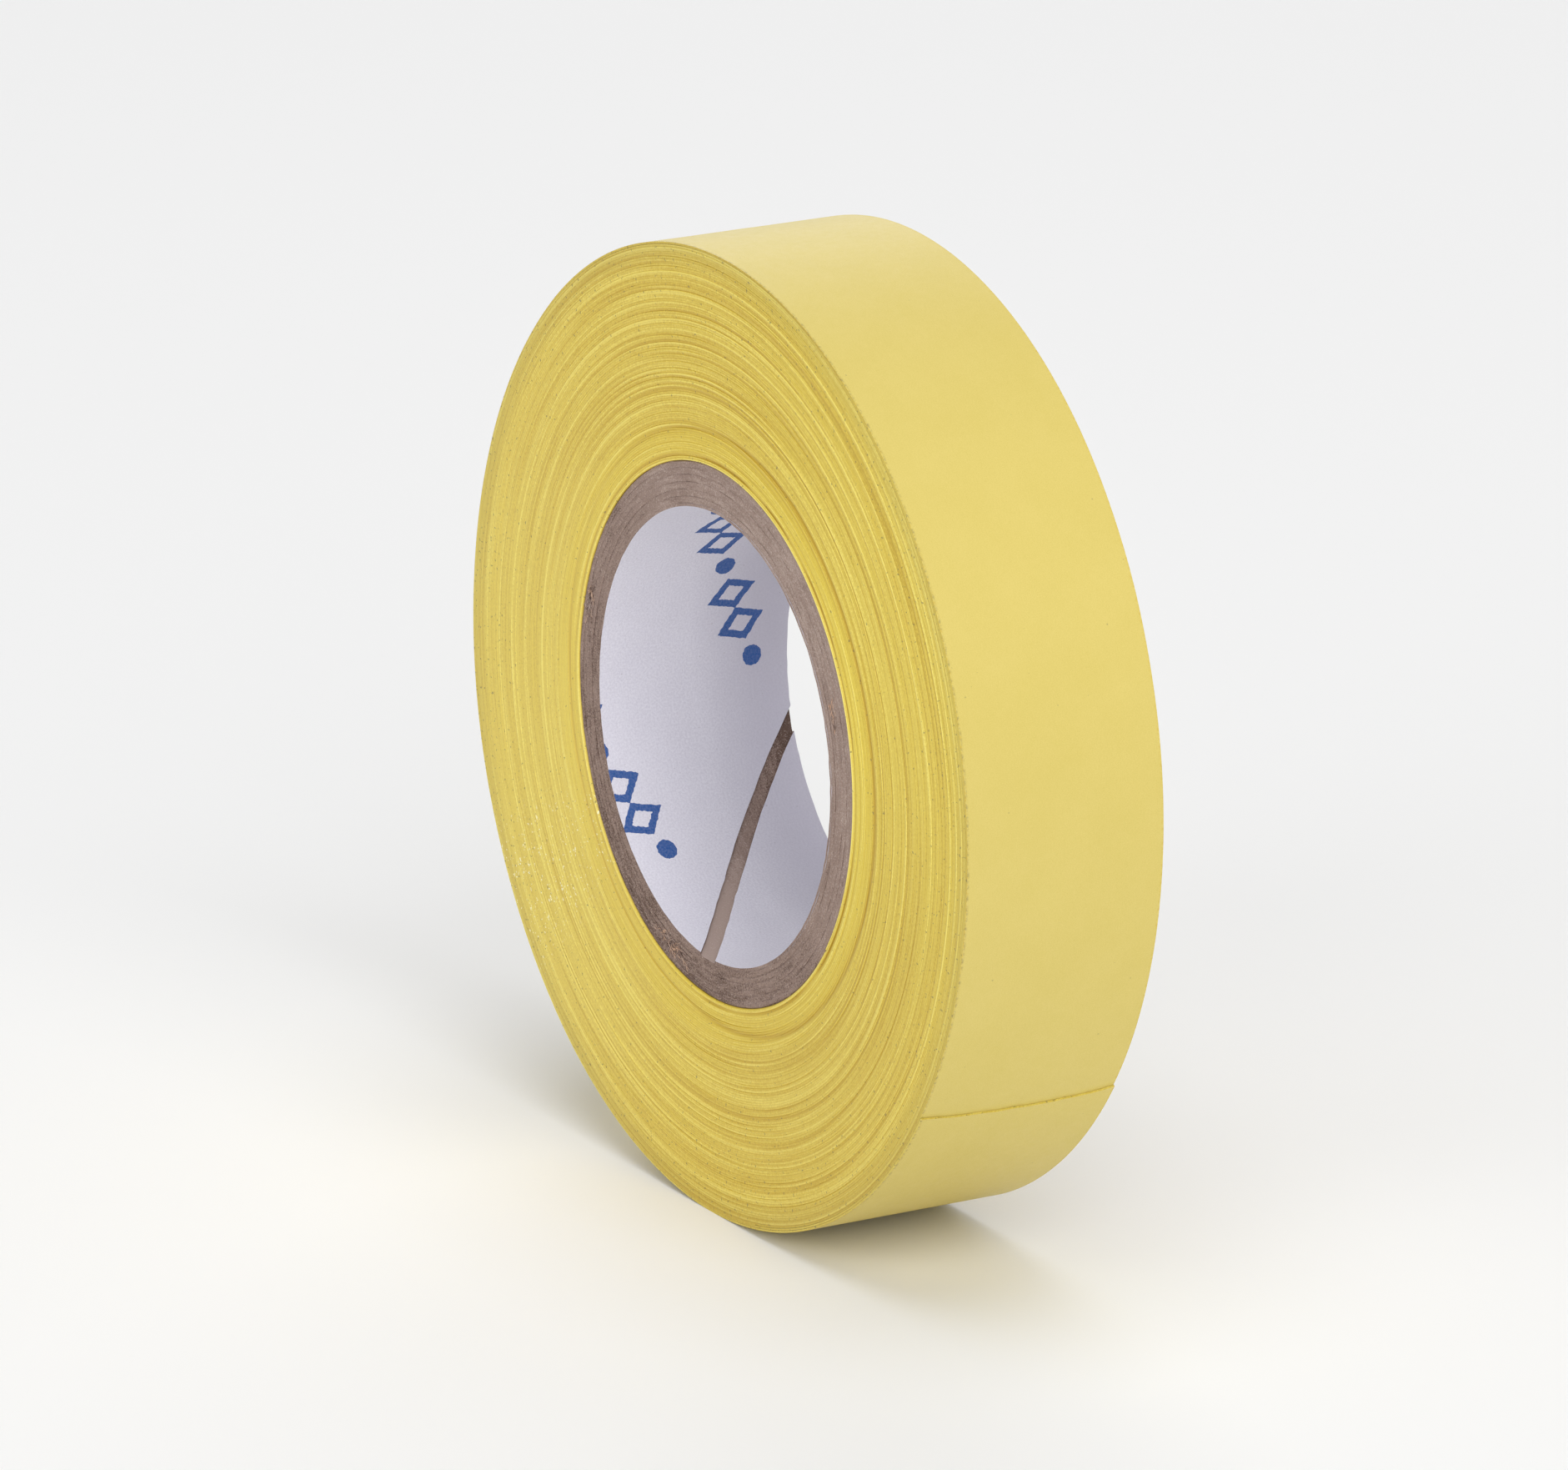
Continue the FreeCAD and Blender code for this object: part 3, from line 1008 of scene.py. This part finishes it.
def ply_relief(index):
    """The fibrous end of a ply, which sits a little deeper at its two faces."""
    inner_radius = BORE_RADIUS + LINER_THICKNESS + index * PLY_THICKNESS

    def relief(side, stations, rim):
        seed = 800 + 10 * index + (5 if side > 0 else 0)
        station = np.arange(stations)[:, None]
        row = np.arange(rim + 2)[None, :]
        fibres = field(seed, 977, 61)(station / 2.3, row * 1.7)
        tufts = field(seed + 1, 211, 31)(station / 9, row * 0.8)
        seat = 0.020 + 0.012 * math.sin(2.4 * index + side)
        rows = seat + 0.010 * fibres + 0.008 * tufts
        rows = rows + PLY_FACE_RECESS * ((row == 0) | (row == rim + 1))
        if index == len(plies) - 1:
            rows = rows + CORE_RIM_RECESS * (row == rim + 1)
        if side < 0:
            gap_angle = LINER_GAP_ANGLE + (index + 1) * PLY_GAP_STAGGER
            angle = helix_angle(gap_angle, -CORE_HALF_WIDTH) + station / stations * TURN
            radius = inner_radius + PLY_THICKNESS * row / (rim + 1)
            rows = rows + frayed_depth(angle, radius, fibres)
        return np.clip(rows, 0.0, DEEPEST_FRAY)

    return relief


def ply_gap(y):
    """The edges of a ply's strip all but meet."""
    return PLY_GAP_WIDTH + 0 * y


def kraft_plies():
    for index, node in enumerate(plies):
        inner = BORE_RADIUS + LINER_THICKNESS + index * PLY_THICKNESS
        gap_angle = LINER_GAP_ANGLE + (index + 1) * PLY_GAP_STAGGER
        fade = BORE_PAINTED_SHADE if index == 0 else NO_PAINTED_SHADE
        piece = core_sheet(
            "kraft_" + node, (inner + SEAT, inner + PLY_THICKNESS), gap_angle, ply_gap,
            PLY_STEPS, ply_relief(index), [KRAFT_BOARD], fade=fade)
        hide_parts(node)


def liner_gap(y):
    """The liner's gap is wider at the near side."""
    return 1.42 - 0.016 * y


def liner_relief(side, stations, rim):
    waver = field(905 + side, 450, 1)(np.arange(stations)[:, None] / 3.0)
    return np.broadcast_to(0.018 + 0.010 * np.clip(waver, -1.6, 1.6), (stations, rim + 2))


def liner():
    waver = field(910, 60)

    def ragged(y, share):
        """The knife wandered a little along both edges of the gap."""
        ends = np.clip(1 - share * 60, 0, 1) - np.clip(1 - (1 - share) * 60, 0, 1)
        return ends * 0.10 * waver(y * 2.2 + 20)

    piece = core_sheet(
        "liner_paper", (BORE_RADIUS, BORE_RADIUS + LINER_THICKNESS), LINER_GAP_ANGLE, liner_gap,
        LINER_STEPS, liner_relief, [LINER_PAPER, KRAFT_BOARD], ragged)
    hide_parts("core_liner")


FIBRES_PER_SIZE = 130  # loose fibres in a frayed spot, for each millimetre of its size
FIBRE_SIDES = 5
FIBRE_STATIONS = 7


def fibre_rings(random, spot_angle, spot_radius, size):
    """The rings of points along one bent and tapered fibre, near a frayed spot."""
    angle = spot_angle + math.degrees(random.normal() * 1.6 * size / spot_radius)
    radius = spot_radius + random.normal() * 0.45 * size
    radius = float(np.clip(radius, BORE_RADIUS + 0.3, CORE_RADIUS - 0.2))
    heading = random.normal() * 0.7
    length = random.uniform(0.2, 0.6)
    thick = random.uniform(0.010, 0.026)
    rise = random.uniform(0.0, 0.05)
    bend = random.normal() * 0.8
    share = np.linspace(-0.5, 0.5, FIBRE_STATIONS)
    turn = heading + bend * share
    around = np.cumsum(np.cos(turn)) * length / FIBRE_STATIONS
    out = np.cumsum(np.sin(turn)) * length / FIBRE_STATIONS
    y = -CORE_HALF_WIDTH + 0.03 - rise * (1 - (2 * share) ** 2)
    spin = np.linspace(0, 2 * np.pi, FIBRE_SIDES, endpoint=False)
    taper = thick * (1.05 - 1.6 * np.abs(share))
    ring_radius = (radius + out)[:, None] + taper[:, None] * np.cos(spin)
    ring_angle = (angle + np.degrees(around / spot_radius))[:, None]
    ring_y = np.maximum(y[:, None] + taper[:, None] * np.sin(spin), -HALF_WIDTH)
    return cylinder_points(ring_radius, ring_angle, ring_y).reshape(-1, 3)


def closed_tube_faces(base, stations, sides):
    """Quads between the rings of a tube whose points start at base, and its two ends."""
    faces = []
    for station in range(stations - 1):
        a = base + station * sides
        b = a + sides
        for j in range(sides):
            k = (j + 1) % sides
            faces.append([a + j, b + j, b + k, a + k])
    last = base + (stations - 1) * sides
    faces.append([base + j for j in range(sides)])
    faces.append([last + j for j in range(sides)][::-1])
    return faces


def frayed_fibres():
    """Loose paper fibres that stand in the frayed spots of the core's near end."""
    random = np.random.default_rng(1200)
    points, faces = [], []
    for spot_angle, spot_radius, size in FRAYED:
        for _ in range(int(FIBRES_PER_SIZE * size)):
            base = len(points) * FIBRE_STATIONS * FIBRE_SIDES
            points.append(fibre_rings(random, spot_angle, spot_radius, size))
            faces += closed_tube_faces(base, FIBRE_STATIONS, FIBRE_SIDES)
    piece = make_piece("core_frayed_fibres", np.concatenate(points), faces, [LOOSE_FIBRE])
    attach(piece, "roll")


# ---------------------------------------------------------------- floor, light and camera

FLOOR_SIZE = 6.0  # metres
CAMERA_AZIMUTH = 60.08
CAMERA_ELEVATION = 16.57
CAMERA_DISTANCE = 641.3  # millimetres, like the two shifts below
CAMERA_ASIDE = -1.317  # the camera's line of sight passes this far beside the roll's centre
CAMERA_BELOW = -0.715
CAMERA_LENS = 269.5
SENSOR_WIDTH = 36.0

# Name, azimuth, elevation and power in watts
LIGHTS = (
    ("key", 80, 32, 21.0),
    ("fill", 30, 24, 8.0),
    ("front", 5, 12, 7.0),
    ("top", 60, 84, 15.5),
    ("back", 238, 24, 11.5),
)
LIGHT_DISTANCE = 2.0  # metres
LIGHT_SIZE = 1.6
SURROUND = 0.24


def direction(azimuth, elevation):
    """A unit vector towards an azimuth, where 0 is -Y and 90 is +X, and an elevation."""
    a, e = math.radians(azimuth), math.radians(elevation)
    return Vector((math.sin(a) * math.cos(e), -math.cos(a) * math.cos(e), math.sin(e)))


def face_towards(item, back):
    """Turns an object so that it looks against back, upright."""
    right = Vector((0, 0, 1)).cross(back).normalized()
    up = back.cross(right)
    item.rotation_euler = Matrix((right, up, back)).transposed().to_euler()
    return right, up


def studio_floor():
    half = FLOOR_SIZE / 2
    corners = [(-half, -half), (half, -half), (half, half), (-half, half)]
    mesh = bpy.data.meshes.new("floor")
    mesh.from_pydata([(x, y, FLOOR_HEIGHT) for x, y in corners], [], [(0, 1, 2, 3)])
    mesh.materials.append(floor_material())
    floor = bpy.data.objects.new("floor", mesh)
    bpy.context.scene.collection.objects.link(floor)


def studio_lamps():
    for name, azimuth, elevation, power in LIGHTS:
        lamp = bpy.data.lights.new(name, "AREA")
        lamp.shape = "DISK"
        lamp.size = LIGHT_SIZE
        lamp.energy = power
        item = bpy.data.objects.new(name, lamp)
        back = direction(azimuth, elevation)
        item.location = back * LIGHT_DISTANCE
        face_towards(item, back)
        bpy.context.scene.collection.objects.link(item)


def surround():
    """Plain grey light from all round, and the colours shown as they are."""
    world = bpy.data.worlds.new("studio")
    world.use_nodes = True
    world.node_tree.nodes["Background"].inputs["Color"].default_value = (1.0, 1.0, 1.0, 1)
    world.node_tree.nodes["Background"].inputs["Strength"].default_value = SURROUND
    bpy.context.scene.world = world
    bpy.context.scene.view_settings.view_transform = "Standard"


def camera():
    data = bpy.data.cameras.new("camera")
    data.lens = CAMERA_LENS
    data.sensor_width = SENSOR_WIDTH
    data.clip_start = 0.01
    data.clip_end = 20
    item = bpy.data.objects.new("camera", data)
    back = direction(CAMERA_AZIMUTH, CAMERA_ELEVATION)
    right, up = face_towards(item, back)
    item.location = (back * CAMERA_DISTANCE + right * CAMERA_ASIDE + up * CAMERA_BELOW) * MM
    bpy.context.scene.collection.objects.link(item)
    bpy.context.scene.camera = item


camera()
studio_floor()
studio_lamps()
surround()
wound_turns()
outer_turn()
kraft_plies()
liner()
frayed_fibres()
